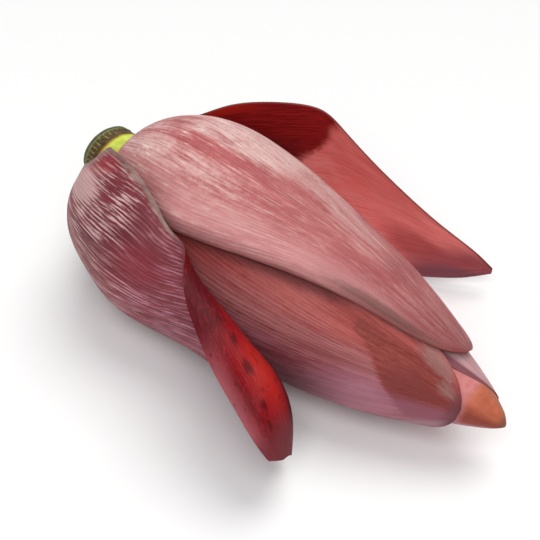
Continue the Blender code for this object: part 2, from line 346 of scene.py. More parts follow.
def dipped(points):
    """Points of the bud's frame with +X along the bud and +Z up, before they are moved to the origin."""
    x, p, q = points[..., 0], points[..., 1], points[..., 2]
    sway = spline(SWAY, x / TIP_X)[..., 0]
    p = p + sway * math.sin(SWAY_ANGLE)
    q = q + sway * math.cos(SWAY_ANGLE)
    along = x * math.cos(DIP) + q * math.sin(DIP)
    height = AXIS_HEIGHT + q * math.cos(DIP) - x * math.sin(DIP)
    return np.stack([along, -p, height], -1)


tip = max((vert.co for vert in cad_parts["inner_bud"].data.vertices), key=lambda co: co.x)
TO_ORIGIN = np.array(tip) - dipped(np.array([TIP_X, 0.0, 0.0]))


def lay_down(points):
    """Points of the bud's frame as it lies on the floor, pressed flat where they would sink into it."""
    laid = dipped(points) + TO_ORIGIN
    laid[..., 2] = np.maximum(laid[..., 2], 0.0)
    return laid


print("moved to the origin by mm:", np.round(TO_ORIGIN * 1000, 1))

# %% [markdown]
# ## A bract is a sheet
#
# A bract is a leaf, so it is built as a leaf grows: one sheet with veins from base to apex, then a
# thickness. The start is a plain grid from Blender's Add menu. Its columns become lines that run along the
# veins and its rows run across them, so a rule can lay every vertex where the solid has it. Then Solidify
# gives it its thickness, less at the margins, and Bevel rounds the rim. The grid also carries a map in
# centimetres, across and along the sheet, which the finishes follow.

# %% Where the veins run
def sine(value):
    """Sine of an array or of a socket."""
    return value.sine() if isinstance(value, Socket) else np.sin(value)


def straight_veins(across, along):
    """A vein's number of centimetres across the sheet: nearly straight from base to apex."""
    return across + sine(along * 0.55) * 0.10 + sine(along * 0.23 + across * 0.30) * 0.18


def front_veins(across, along):
    """The front bract's veins bow out towards its lower margin in the middle and back at both ends."""
    ahead = along - 10.3
    ahead = ahead / (1.0 + ahead * ahead * 0.025) ** 0.5
    return across + ahead * ahead * 0.055 + sine(along * 0.9) * 0.05


def back_veins(across, along):
    """The back bract's veins run over towards its upper margin, more and more towards the apex."""
    past = along - 5.0
    past = (past + (past * past + 1.0) ** 0.5) / 2
    return across - past * past * 0.033 + sine(along * 0.8) * 0.05


# %% [markdown]
# ## Relief, thickness and rim
#
# The outer face isn't smooth: it swells gently, and ribs follow the veins. Both are moved into the mesh, so
# they show in the outline too, and they fade towards the margins, so that the rim stays even. Random relief
# comes from a lattice of random heights with smooth slopes between them, and a piece's seed gives it the
# same heights each time.

# %% Random hills and ribs
LATTICE, LATTICE_SHIFT = 128, (7.3, 5.7)
SWELL_HEIGHT, BROAD_HEIGHT = 0.00030, 0.00010
SLOPE_STEP, LAST_SLOPE = 0.002, 0.999


def hills(across, along, wide, long, seed):
    """Smooth random relief from -1 to 1, in hills of a width and length in the map's centimetres."""
    lattice = np.random.default_rng(seed).uniform(-1.0, 1.0, (LATTICE, LATTICE))
    a, b = across / wide + LATTICE_SHIFT[0], along / long + LATTICE_SHIFT[1]
    column, row = np.floor(a).astype(int), np.floor(b).astype(int)
    s, t = smooth_step(0.0, 1.0, a - column), smooth_step(0.0, 1.0, b - row)
    column, row, right, above = column % LATTICE, row % LATTICE, (column + 1) % LATTICE, (row + 1) % LATTICE
    low = lattice[column, row] * (1.0 - s) + lattice[right, row] * s
    high = lattice[column, above] * (1.0 - s) + lattice[right, above] * s
    return low * (1.0 - t) + high * t


def ribs(across, along, veins, pitch, height, seed):
    """The relief of a bract's outer face in metres: broad swells, then ribs that follow the veins."""
    line = veins(across, along)
    swell = SWELL_HEIGHT * hills(across, along, 2.6, 5.0, seed)
    broad = BROAD_HEIGHT * hills(line + 50.0, along, 0.60, 9.0, seed + 1)
    uneven = 0.6 + 0.4 * hills(across, along, 1.5, 3.0, seed + 2)
    return swell + broad + height * np.sin(2 * math.pi / pitch * line) * uneven


def raised(surface, across, along, relief, outward):
    """Points of a sheet, moved off it by the relief along its outward normal."""
    sideways = surface(across + SLOPE_STEP, along) - surface(across - SLOPE_STEP, along)
    back, ahead = np.maximum(along - SLOPE_STEP, 0.0), np.minimum(along + SLOPE_STEP, LAST_SLOPE)
    onward = surface(across, ahead) - surface(across, back)
    normal = np.cross(sideways, onward) * outward
    # the axes (x, p, q) are a left-handed set, so the cross product points the other way
    normal = -normal / np.maximum(np.linalg.norm(normal, axis=-1, keepdims=True), 1e-12)
    return surface(across, along) + normal * relief[..., None]


# %% A grid laid in its place
def add_grid(name, counts):
    """A flat grid, and each vertex's share of the way along its columns and along its rows."""
    bpy.ops.object.select_all(action="DESELECT")
    bpy.ops.mesh.primitive_grid_add(x_subdivisions=counts[0], y_subdivisions=counts[1], size=2.0)
    piece = bpy.context.object
    piece.name = name
    flat = np.empty(len(piece.data.vertices) * 3)
    piece.data.vertices.foreach_get("co", flat)
    flat = flat.reshape(-1, 3)
    return piece, (flat[:, 0] + 1.0) / 2, (flat[:, 1] + 1.0) / 2


def lay_grid(piece, points, map_across, map_along):
    """Moves a grid's vertices to their places on the head, and writes its map."""
    mesh = piece.data
    mesh.vertices.foreach_set("co", lay_down(points).ravel())
    loops = np.empty(len(mesh.loops), int)
    mesh.loops.foreach_get("vertex_index", loops)
    sheet_map = mesh.uv_layers[0]
    sheet_map.name = "sheet"
    sheet_map.data.foreach_set("uv", np.stack([map_across, map_along], -1)[loops].ravel())


# %% Thickness and rim
MARGIN_SHARE = 0.5
RIM_ROUNDING, RIM_ANGLE = 0.0004, math.radians(55.0)


def thicken(bract, weight, thickness, side):
    """Gives a sheet its thickness, less where the weight is small, and rounds its rim."""
    group = bract.vertex_groups.new(name="body")
    for index, value in enumerate(weight):
        group.add([index], float(value), "REPLACE")
    thick = bract.modifiers.new("thickness", "SOLIDIFY")
    thick.thickness = thickness
    thick.offset = side
    thick.vertex_group = group.name
    thick.thickness_vertex_group = MARGIN_SHARE
    thick.material_offset = 1
    thick.material_offset_rim = 2
    bpy.ops.object.modifier_apply(modifier=thick.name)
    rim = bract.modifiers.new("rounding", "BEVEL")
    rim.limit_method = "ANGLE"
    rim.angle_limit = RIM_ANGLE
    rim.width = RIM_ROUNDING
    rim.segments = 2
    bpy.ops.object.modifier_apply(modifier=rim.name)
    bpy.ops.object.shade_smooth()


# %% A bract from its surface
BRACT_THICKNESS, INNER_THICKNESS = 0.0018, 0.0014
CROWDED, LAST_ROW = 0.65, 0.9985


def add_sheet(name, surface, counts, map_size, veins, seed,
              margins=(-1.0, 1.0), crowded=CROWDED, thickness=BRACT_THICKNESS, side=-1.0, outward=1.0):
    """A bract: a grid laid on its surface, ribbed, thickened and rounded at its rim."""
    bract, share, along = add_grid(name, counts)
    across = margins[0] + share * (margins[1] - margins[0])
    along = np.minimum(crowd(along, crowded), LAST_ROW)
    from_margin, from_apex = np.minimum(share, 1.0 - share), 1.0 - along
    map_across, map_along = share * map_size[0], along * map_size[1]
    relief = ribs(map_across, map_along, *veins, seed)
    relief = relief * smooth_step(0.0, 0.06, along) * smooth_step(0.0, 0.10, from_apex)
    relief = relief * smooth_step(0.0, 0.05, from_margin)
    lay_grid(bract, raised(surface, across, along, relief, outward), map_across, map_along)
    for face in ("outside", "inside", "rim"):
        bract.data.materials.append(None)
    # a sheet whose columns run the other way round has its faces turned outwards
    if outward < 0.0:
        bpy.ops.object.mode_set(mode="EDIT")
        bpy.ops.mesh.select_all(action="SELECT")
        bpy.ops.mesh.flip_normals()
        bpy.ops.object.mode_set(mode="OBJECT")
    weight = smooth_step(0.0, 0.18, from_margin) * smooth_step(0.0, 0.08, from_apex)
    thicken(bract, weight, thickness, side)
    print(name, len(bract.data.polygons), "faces")
    return bract


# %% [markdown]
# ## The three bracts that hug the bud
#
# Each is given by where its apex lies along the meridian, its middle angle and its reach to either side,
# and how far it stands off the bud. The top bract's front margin is different: it swells and then curls
# down to the bract below, which makes the rounded lip that runs the length of the head.

# %% Top, low and inner bract as surfaces
BLUNTNESS = 14
INNER_APEX, INNER_LIFT = 0.2365, 0.0021
INNER_MIDDLE, INNER_REACH = [[-80.0], [-80.0]], [[100.0], [100.0]]
LOW_APEX, LOW_LIFT, LOW_OVER_INNER, LOW_BELLY = 0.2270, 0.0031, 0.0013, 0.0035
# angles between which the low bract comes down past the inner one's margins, and those of its belly
LOW_PAST_UPPER, LOW_PAST_LOWER, LOW_BELLY_ANGLES = (18.0, 34.0), (150.0, 168.0), (35.0, 160.0)
LOW_MIDDLE = [[92.0], [92.0], [88.0], [80.0], [66.0]]
LOW_REACH = [[100.0], [96.0], [90.0], [80.0], [72.0]]
TOP_APEX, TOP_LIFT, TOP_RISE, TOP_FALL = 0.2125, 0.0068, 0.0017, 0.0023
TOP_PUFF, TOP_TUCK = 0.0012, 0.0008
TOP_MIDDLE = [[-35.0], [-35.0], [-33.0], [-28.0], [-25.0]]
TOP_REACH = [[95.0], [92.0], [72.0], [50.0], [46.0]]
LIP_SWELL, LIP_CURL = 0.0012, 0.0030


def wrapped(across, along, apex, middle, reach, lift):
    """A bract on the bud, from its apex, its middle angles, its reaches and a function for its lift."""
    half = spline(reach, along)[..., 0] * np.sqrt(1.0 - along**BLUNTNESS)
    angle = spline(middle, along)[..., 0] + across * half
    x, r = on_meridian(along * apex, lift(across, along, angle))
    return round_axis(x, r, angle)


def top_bract(across, along):
    def lift(across, along, angle):
        rise = TOP_RISE * smooth_step(0.0, 0.3, along) - TOP_FALL * smooth_step(0.72, 1.0, along)
        puff = TOP_PUFF * (1.0 - across**2) * np.sin(math.pi * along)
        ends = smooth_step(0.0, 0.15, along) * smooth_step(0.0, 0.15, 1.0 - along)
        lip = LIP_SWELL * smooth_step(0.62, 0.90, across) - LIP_CURL * smooth_step(0.86, 1.0, across) ** 2
        return TOP_LIFT + rise + puff + lip * ends - TOP_TUCK * smooth_step(0.8, 1.0, -across)

    return wrapped(across, along, TOP_APEX, TOP_MIDDLE, TOP_REACH, lift)


def low_bract(across, along):
    def lift(across, along, angle):
        start, end = LOW_BELLY_ANGLES
        over_inner = 1.0 - smooth_step(*LOW_PAST_UPPER, angle) + smooth_step(*LOW_PAST_LOWER, angle)
        belly = np.sin(math.pi * np.clip((angle - start) / (end - start), 0.0, 1.0))
        belly = belly * smooth_step(0.0, 0.35, along) * (1.0 - 0.7 * smooth_step(0.75, 1.0, along))
        return LOW_LIFT + LOW_OVER_INNER * over_inner + LOW_BELLY * belly

    return wrapped(across, along, LOW_APEX, LOW_MIDDLE, LOW_REACH, lift)


def inner_bract(across, along):
    def lift(across, along, angle):
        return np.full_like(angle, INNER_LIFT)

    return wrapped(across, along, INNER_APEX, INNER_MIDDLE, INNER_REACH, lift)


# %% [markdown]
# ## The two loose bracts
#
# These have left the bud, so they are given by cross-sections at even stations from stem to apex. The
# front one is an arc up to a crest and then a roll that turns the other way, which brings its red inner
# face out. The back one is a chord bowed outwards.

# %% Front and back bract as surfaces
FRONT_BLUNTNESS, FRONT_END = 60, 0.66
# how much shorter the front bract is all over, at its lower margin and at its roll's free edge
END_CUT, WALL_CUT, CURL_CUT = 0.009, 0.075, 0.030
# and how far its base is torn off the stem at the free edge
BASE_TORN = 0.195
# x, crest p and q, margin p and q, wall's bulge, roll's radius and turn (degrees), margin's x shift
FRONT_STATIONS = [
    (0.0060, 0.0067, 0.0150, 0.0080, -0.0144, 0.0082, 0.0060, 0, -0.0110),
    (0.0085, 0.0165, 0.0250, 0.0136, -0.0256, 0.0190, 0.0060, 0, -0.0060),
    (0.0190, 0.0255, 0.0370, 0.0200, -0.0400, 0.0270, 0.0060, 0, -0.0045),
    (0.0380, 0.0320, 0.0430, 0.0248, -0.0488, 0.0316, 0.0080, 0, -0.0015),
    (0.0580, 0.0370, 0.0410, 0.0308, -0.0507, 0.0308, 0.0090, 0, 0.0),
    (0.0800, 0.0440, 0.0325, 0.0362, -0.0460, 0.0210, 0.0090, 12, 0.0),
    (0.1010, 0.0522, 0.0220, 0.0415, -0.0336, 0.0125, 0.0100, 110, 0.0),
    (0.1220, 0.0538, 0.0143, 0.0460, -0.0265, 0.0080, 0.0121, 160, 0.0),
    (0.1420, 0.0557, 0.0095, 0.0510, -0.0255, 0.0055, 0.0131, 180, 0.0),
    (0.1600, 0.0590, 0.0086, 0.0560, -0.0245, 0.0040, 0.0136, 190, 0.0),
    (0.1760, 0.0652, 0.0022, 0.0632, -0.0265, 0.0025, 0.0120, 185, 0.0),
    (0.1860, 0.0738, -0.0162, 0.0732, -0.0258, 0.0006, 0.0052, 170, 0.0),
]
# x, upper margin p, upper margin q, lower margin p, lower margin q, bow
BACK_STATIONS = [
    (0.0055, -0.0142, 0.0082, -0.0082, -0.0142, 0.0045),
    (0.0060, -0.0250, 0.0120, -0.0145, -0.0250, 0.0080),
    (0.0160, -0.0400, 0.0115, -0.0220, -0.0390, 0.0130),
    (0.0340, -0.0500, 0.0250, -0.0280, -0.0460, 0.0150),
    (0.0570, -0.0600, 0.0358, -0.0360, -0.0495, 0.0160),
    (0.0780, -0.0690, 0.0405, -0.0470, -0.0472, 0.0155),
    (0.0930, -0.0730, 0.0345, -0.0530, -0.0455, 0.0140),
    (0.1120, -0.0772, 0.0230, -0.0610, -0.0438, 0.0120),
    (0.1330, -0.0828, 0.0108, -0.0700, -0.0410, 0.0095),
    (0.1560, -0.0888, -0.0015, -0.0800, -0.0350, 0.0060),
    (0.1740, -0.0936, -0.0106, -0.0890, -0.0296, 0.0030),
    (0.1860, -0.0975, -0.0200, -0.0980, -0.0240, 0.0005),
]


def front_bract(across, along):
    """The loose front bract: across 0 is its lower margin and 1 the free edge of its roll."""
    cut = END_CUT + WALL_CUT * np.clip(1.0 - across / 0.5, 0.0, 1.0) ** 1.5
    cut = cut + CURL_CUT * np.clip((across - 0.8) / 0.2, 0.0, 1.0) ** 2
    ragged = 1.0 + 0.08 * hills(across, np.zeros_like(across), 0.03, 1.0, 61)
    torn = BASE_TORN * smooth_step(0.52, 1.0, across) * ragged
    along = along - cut * smooth_step(0.75, 1.0, along) + torn * smooth_step(0.60, 0.0, along)
    values = np.moveaxis(spline(FRONT_STATIONS, along), -1, 0)
    x, top_p, top_q, low_p, low_q, bulge, roll, turn, shift = values
    turn = np.radians(np.maximum(turn, 0.0))
    chord = np.hypot(top_p - low_p, top_q - low_q)
    up_p, up_q = (top_p - low_p) / chord, (top_q - low_q) / chord
    out_p, out_q = up_q, -up_p
    radius = (chord**2 / 4 + bulge**2) / (2 * bulge)
    half = np.arcsin(np.clip(chord / 2 / radius, 0.0, 1.0))
    wall = 2 * half * radius
    narrowed = FRONT_END + (across - FRONT_END) * np.sqrt(1.0 - along**FRONT_BLUNTNESS)
    travel = narrowed * (wall + roll * turn)
    # the wall: an arc whose chord runs from the lower margin to the crest
    swing = np.minimum(travel, wall) / radius - half
    rise, depth = radius * np.sin(swing), radius * (np.cos(swing) - 1.0) + bulge
    # the roll: an arc that leaves the wall at its tangent and turns the other way
    past = np.maximum(travel - wall, 0.0) / roll
    ahead, outward = roll * np.sin(past), roll * (1.0 - np.cos(past))
    rise = rise + ahead * np.cos(half) + outward * np.sin(half)
    depth = depth - ahead * np.sin(half) + outward * np.cos(half)
    p = (top_p + low_p) / 2 + rise * up_p + depth * out_p
    q = (top_q + low_q) / 2 + rise * up_q + depth * out_q
    return np.stack([x + shift * smooth_step(0.0, 0.75, 1.0 - across), p, q], -1)


def back_bract(across, along):
    """The loose back bract: across -1 is its lower margin and 1 its upper one."""
    x, top_p, top_q, low_p, low_q, bow = np.moveaxis(spline(BACK_STATIONS, along), -1, 0)
    share = (across + 1.0) / 2
    chord_p, chord_q = top_p - low_p, top_q - low_q
    arch = 4.0 * share * (1.0 - share) * bow / np.hypot(chord_p, chord_q)
    p = low_p + share * chord_p - arch * chord_q
    q = low_q + share * chord_q + arch * chord_p
    return np.stack([x, p, q], -1)


# %% [markdown]
# ## Five bracts from one recipe
#
# The bracts differ in outline but grow alike, so each is one call: its surface rule, how fine its grid is,
# its map, and the course, spacing and height of its ribs. The rows are moved closer together near the base
# and the apex, where a bract turns most.

# %% Bracts
TOP_MAP, LOW_MAP, INNER_MAP = (14.0, 21.2), (15.0, 22.7), (14.0, 23.6)
FRONT_MAP, BACK_MAP = (12.0, 21.0), (9.0, 21.0)
top = add_sheet("top_bract", top_bract, (210, 130), TOP_MAP, (straight_veins, 0.19, 0.00004), 11)
low = add_sheet("low_bract", low_bract, (210, 130), LOW_MAP, (straight_veins, 0.21, 0.00005), 21)
inner = add_sheet("inner_bract", inner_bract, (160, 120), INNER_MAP, (straight_veins, 0.20, 0.00005), 31,
                  thickness=INNER_THICKNESS)
front = add_sheet("front_bract", front_bract, (240, 160), FRONT_MAP, (front_veins, 0.24, 0.00010), 41,
                  margins=(0.0, 1.0), crowded=0.5, side=0.0, outward=-1.0)
back = add_sheet("back_bract", back_bract, (180, 150), BACK_MAP, (back_veins, 0.20, 0.00007), 51,
                 crowded=0.4)

# %% [markdown]
# ## The closed bud and the cut stem
#
# Both are round, so each is a grid rolled into a tube: its columns run along it and its rows go round. The
# first and last rows shrink to a point, and where the seam and the points meet, the doubles are merged.

# %% Inner bud and stem
BASE_DISC, TIP_SWELL = 0.03, 0.0022
STEM_MAP, BUD_MAP = (9.6, 3.6), (26.0, 26.0)
STEM_TICKS, TICK_DEPTH, STEM_GRAIN = 34.0, 0.0003, 0.00010
MERGE_DISTANCE = 0.000002
# from the middle of the cut face, over its rim and along the side to the root: share, radius, x from the cut
STEM_PROFILE = [
    (0.00, 0.0000, 0.0006),
    (0.20, 0.0105, 0.0003),
    (0.26, 0.0136, 0.0000),
    (0.29, 0.0148, 0.0002),
    (0.32, 0.0153, 0.0008),
    (0.40, 0.0153, 0.0022),
    (0.42, 0.0155, 0.0026),
    (0.44, 0.0151, 0.0030),
    (0.56, 0.0150, 0.0060),
    (0.60, 0.0152, 0.0066),
    (0.90, 0.0150, 0.0200),
    (0.95, 0.0100, 0.0206),
    (1.00, 0.0000, 0.0206),
]


def inner_bud(around, share):
    length = np.clip((share - BASE_DISC) / (1.0 - BASE_DISC), 0.0, 1.0) * MERIDIAN_LENGTH[-1]
    x, r = on_meridian(length, 0.0)
    blunt = TIP_SWELL * smooth_step(0.70, 0.93, share) * np.sqrt(np.clip((1.0 - share) / 0.02, 0.0, 1.0))
    blunt = blunt * (0.5 + 0.5 * np.cos(around * 2 * math.pi))
    r = np.where(share >= 1.0, 0.0, r * np.clip(share / BASE_DISC, 0.0, 1.0) + blunt)
    return round_axis(x, r, around * 360.0)


def stem(around, share):
    rows = np.array(STEM_PROFILE)
    radius = np.interp(share, rows[:, 0], rows[:, 1])
    back = np.interp(share, rows[:, 0], rows[:, 2])
    angle = around * 360.0
    slant = STEM_SLANT * np.cos(np.radians(angle - STEM_SLANT_ANGLE)) * radius / STEM_RADIUS
    start = STEM_END_X - slant
    root = BUD_BASE_X - ROOM
    x = np.minimum(np.where(share < 0.9, start + back, root), root)
    relief = STEM_GRAIN * hills(around * STEM_MAP[0], share * STEM_MAP[1], 0.25, 0.2, 5)
    band = smooth_step(0.44, 0.46, share) * smooth_step(0.56, 0.54, share)
    cell = np.abs(np.sin(math.pi * around * STEM_TICKS)) ** 3
    radius = np.maximum(radius + relief * smooth_step(0.0, 0.1, share) - TICK_DEPTH * band * cell, 0.0)
    return round_axis(x, np.where(share >= 1.0, 0.0, radius), angle)


def add_round(name, surface, counts, crowded, map_size):
    """A round piece: a grid rolled into a tube and closed at both ends."""
    piece, around, share = add_grid(name, counts)
    share = crowd(share, crowded)
    lay_grid(piece, surface(around, share), around * map_size[0], share * map_size[1])
    piece.data.materials.append(None)
    bpy.ops.object.mode_set(mode="EDIT")
    bpy.ops.mesh.select_all(action="SELECT")
    bpy.ops.mesh.remove_doubles(threshold=MERGE_DISTANCE)
    bpy.ops.mesh.normals_make_consistent(inside=False)
    bpy.ops.object.mode_set(mode="OBJECT")
    bpy.ops.object.shade_smooth()
    print(name, len(piece.data.polygons), "faces")
    return piece


bud = add_round("bud", inner_bud, (160, 180), 0.7, BUD_MAP)
cut_stem = add_round("cut_stem", stem, (272, 110), 0.0, STEM_MAP)

# %% [markdown]
# ## Wax, veins and bruises
#
# The outside of a bract has three layers. The pigment is rose to maroon. Veins run through it from base to
# apex, about two millimetres apart. Over both lies wax, a pale bloom that the bract grows against rain. It
# rubs off where bracts have slid over each other, and what is left clings to the veins in broken streaks.
# So every finish here starts from the same layers, stretched along the veins: the ribs, finer lines, broad
# bands and short dashes. What differs is where the wax is thick, and that is given as soft patches in the
# sheet's own centimetres, frayed along the veins. Colours that lie over each other are listed as coats,
# from the lowest up, and each coat's name is also the label of its Mix node.

# %% Layers shared by the bracts' faces
class Skin(Finish):
    """A bract's face: its map, the lines of its veins and the noises that follow them."""

    def __init__(self, name, seed, veins, pitch):
        super().__init__(name)
        self.across, self.along = self.sheet()
        self.line = veins(self.across, self.along)
        self.rib = sine(self.line * (2 * math.pi / pitch))
        self.fine = self.noise(self.line * 17.0, self.along * 0.45, seed + 1.3, 3.0, 0.65) - 0.5
        self.band = self.noise(self.line * 2.2, self.along * 0.17, seed + 2.7, 2.0) - 0.5
        self.dash = self.noise(self.line * 6.0, self.along * 0.80, seed + 3.1, 3.0, 0.6) - 0.5
        self.cloud = self.noise(self.across * 0.50, self.along * 0.36, seed + 4.9, 4.0, 0.6) - 0.5
        self.mottle = self.noise(self.line * 4.5, self.along * 2.4, seed + 6.1, 4.0, 0.7) - 0.5
        self.grain = self.speckle(0.0009, seed, 3.0) - 0.5
        self.comb = self.fine + self.dash * 0.7 + self.rib * 0.08

    def spot(self, centre, reach, soft=0.55):
        """1 inside an oval of the sheet, falling to 0 outside: centre and reach in centimetres."""
        a = (self.across - centre[0]) / reach[0] + self.cloud * 0.5
        b = (self.along - centre[1] + self.dash * 1.6) / reach[1]
        far = (a * a + b * b) ** 0.5
        return self.step(far, 1.0 + soft, 1.0 - soft)

    def patches(self, start, spots):
        """A value with amounts added to it in spots."""
        for amount, centre, reach in spots:
            start = start + self.spot(centre, reach) * amount
        return start

    def dots(self, size, share, seed):
        """1 in scattered dots of a size in centimetres, in a share of the cells that could hold one."""
        place = self.node("CombineXYZ", {}, {0: self.across, 1: self.along, 2: seed})
        settings = {"voronoi_dimensions": "3D"}
        inputs = {"Vector": place, "Scale": 0.35 / size}
        far = self.node("TexVoronoi", settings, inputs, 0)
        chance = self.node("SeparateXYZ", {}, {0: self.node("TexVoronoi", settings, inputs, 1)}, 0)
        return self.step(far, 0.26, 0.14) * self.step(chance, share, share - 0.02)

    def two_tone(self, value, spread, dark, light):
        """Two tones of one pigment, mixed by a value that swings round 0."""
        return self.mix(self.step(value, -spread, spread), tint(*dark), tint(*light))

    def layers(self, below, coats):
        """A colour with coats laid over it, each with a name, a mask and its everyday colour."""
        for name, mask, colour in coats:
            below = self.mix(mask, below, tint(*colour))
            below.output.node.label = name
        return below

    def relief(self, depth=0.00040):
        """Lines, dashes and grain too fine for the mesh, as a bump with a depth in metres."""
        height = self.fine * 0.5 + self.dash * 0.3 + self.rib * 0.08 + self.grain * 0.15
        inputs = {"Strength": 1.0, "Distance": depth, "Height": height}
        self.feed(self.shader.inputs["Normal"], self.node("Bump", {}, inputs))


# %% [markdown]
# ## The top bract's bloom
#
# This bract shows the most wax: it is thickest near the base and along the crown, thin over the shoulder
# and worn to rose near the apex. One image could hold all that, but it would blur and stretch when seen
# close. Here the amount of wax is one value, a few soft patches added up, and the noises fray it along the
# veins before it picks between two colours.

# %% Top bract: pigment and wax
skin = top_skin = Skin("top_outside", 11.0, straight_veins, 0.19)
uneven = skin.band + skin.cloud + skin.mottle * 0.8
rose = skin.layers(skin.two_tone(uneven, 0.30, (168, 82, 84), (192, 108, 106)), [
    ("bare streak", skin.spot((7.0, 3.2), (1.0, 1.4)) * 0.7, (188, 82, 78)),
    ("rubbed band", skin.spot((7.0, 16.4), (2.6, 1.0)) * 0.7, (150, 66, 70)),
    ("dark apex", skin.step(skin.along + skin.across * 0.15, 18.5, 21.5) * 0.8, (150, 66, 68)),
])
veil = skin.patches(0.34, [
    (0.60, (8.2, 6.2), (1.1, 2.7)),
    (0.35, (7.4, 8.6), (0.6, 0.9)),
    (0.50, (6.2, 5.6), (1.3, 3.8)),
    (0.40, (6.8, 2.4), (1.2, 1.2)),
    (0.22, (11.6, 7.5), (1.2, 4.8)),
    (0.34, (10.6, 2.2), (1.6, 1.7)),
    (0.30, (7.0, 11.8), (1.5, 2.6)),
    (-0.22, (9.8, 5.5), (0.5, 3.8)),
    (-0.22, (10.8, 12.0), (1.6, 3.6)),
    (-0.14, (8.8, 11.0), (1.0, 1.4)),
    (-0.25, (7.0, 16.4), (3.2, 1.1)),
])
veil = veil + skin.comb * 0.45 + skin.mottle * 0.80 + skin.band * 0.9 + skin.cloud * 0.5
veil = skin.step(veil, 0.16, 1.00)
pale = skin.mix(skin.step(skin.across, 10.8, 12.6), tint(222, 188, 182), tint(198, 150, 140))
waxed = skin.mix(veil * 0.85, rose, pale)

# %% [markdown]
# ## The top bract's lines and wear
#
# The wax isn't even where it is thick. Dark and pale lines run through it, it is worn in clouds, and the
# pigment shows in specks and streaks. Towards the apex all of it darkens. The lip is painted paler in its
# middle, as painted light against the shade of its own curl, and dark at both ends; its grey end is partly
# painted shade, and painted shade darkens it most along its margin.

# %% Top bract: lines and wear
worn = skin.step(skin.mottle + skin.cloud * 0.7, 0.02, 0.26) * skin.step(skin.along, 6.0, 9.0)
speck = skin.step(skin.noise(skin.across * 5.0, skin.along * 5.0, 9.0, 3.0, 0.6), 0.60, 0.70)
ruddy = skin.noise(skin.line * 1.3, skin.along * 0.55, 12.0, 4.0, 0.65) + skin.mottle * 0.25
ruddy = skin.step(ruddy, 0.54, 0.66)
near_base = skin.step(skin.along, 9.0, 3.0)
lip_base = skin.step(skin.along, 7.0, 4.5) * skin.step(skin.across, 11.4, 13.4)
lip_end = skin.step(skin.along, 13.0, 17.0) * skin.step(skin.across, 11.6, 14.0)
lip = skin.step(skin.across, 11.0, 12.8) * skin.step(skin.along, 20.0, 15.0)
# grey-brown at the lip's end: partly greyed wax, partly painted shade
greyed = skin.step(skin.spot((13.2, 17.2), (0.55, 3.0), 0.8) + skin.mottle + skin.comb * 0.6, 0.25, 1.05)
colour = skin.layers(waxed, [
    ("dark lines", skin.step(skin.comb, -0.03, -0.22) * 0.38, (150, 74, 78)),
    ("pale lines", skin.step(skin.comb, 0.06, 0.24) * 0.30, (226, 196, 188)),
    ("pale dashes", skin.step(skin.dash + skin.band * 0.3, 0.02, 0.22) * 0.32, (224, 186, 180)),
    ("dark dashes", skin.step(skin.dash + skin.band * 0.3, -0.02, -0.22) * 0.32, (156, 76, 78)),
    ("worn clouds", worn * 0.50, (162, 114, 106)),
    ("red specks", speck * 0.45, (172, 66, 70)),
    ("ruddy streaks", ruddy * 0.35, (158, 64, 68)),
    ("wax dashes", skin.step(skin.dash, 0.12, 0.17) * near_base * 0.7, (236, 214, 204)),
    ("darker apex", skin.step(skin.along + skin.across * 0.2, 13.0, 22.0) * 0.50, (128, 62, 64)),
    # painted light: the lip's curl is painted paler, against the shade it gets from its own curl
    ("painted light on the lip", lip * 0.40, (214, 160, 160)),
    ("lip's base", lip_base * 0.6, (120, 58, 60)),
    ("lip's end", lip_end * 0.5, (128, 70, 66)),
    ("dull patch", skin.spot((8.0, 11.6), (3.2, 2.6), 0.9) * 0.28, (150, 84, 82)),
    ("red patch", skin.spot((4.8, 14.4), (1.3, 2.2), 0.9) * 0.50, (150, 58, 60)),
    ("greyed lip", greyed * 0.65, (98, 62, 56)),
    ("red apex", skin.step(skin.along, 20.0, 20.8) * skin.step(skin.across, 9.0, 12.0) * 0.7, (138, 58, 58)),
    # painted shade: the margin darkens where the lip curls down over the low bract
    ("painted shade at the margin", skin.step(skin.across + skin.cloud * 0.3, 13.70, 13.98) * 0.8, (104, 40, 38)),
])
skin.relief()
skin.set(Base_Color=colour, Roughness=veil * 0.20 + 0.48)

# %% [markdown]
# ## The low bract's three pigments
#
# Next to the lip this bract is brown red, and painted shade beside the lip darkens it further. Further round
# it turns grey and then mauve, with dark veins that show through. So three two-toned pigments follow each
# other across the sheet.

# %% Low bract: pigment and veins
skin = low_skin = Skin("low_outside", 23.0, straight_veins, 0.21)
brown = skin.two_tone(skin.band + skin.cloud + skin.mottle * 0.5, 0.30, (146, 54, 50), (172, 78, 72))
mauve = skin.two_tone(skin.band + skin.cloud, 0.25, (134, 58, 68), (166, 96, 106))
grey = skin.two_tone(skin.band, 0.2, (144, 74, 76), (166, 98, 98))
round_bud = skin.mix(skin.step(skin.across + skin.band * 2.0, 3.8, 5.4), brown, grey)
round_bud = skin.mix(skin.step(skin.across + skin.band * 2.0, 5.6, 7.4), round_bud, mauve)
vein = skin.step(skin.rib * 0.40 + skin.fine * 1.2 + skin.dash * 1.6, -0.48, -0.72)
lined = skin.step(skin.across, 3.4, 5.2) * skin.step(skin.along, 19.0, 15.0)
lined = lined.either(skin.spot((4.8, 9.6), (1.8, 2.4)))
beside_lip = skin.across - (6.1 - skin.along * 0.27).either(1.9)
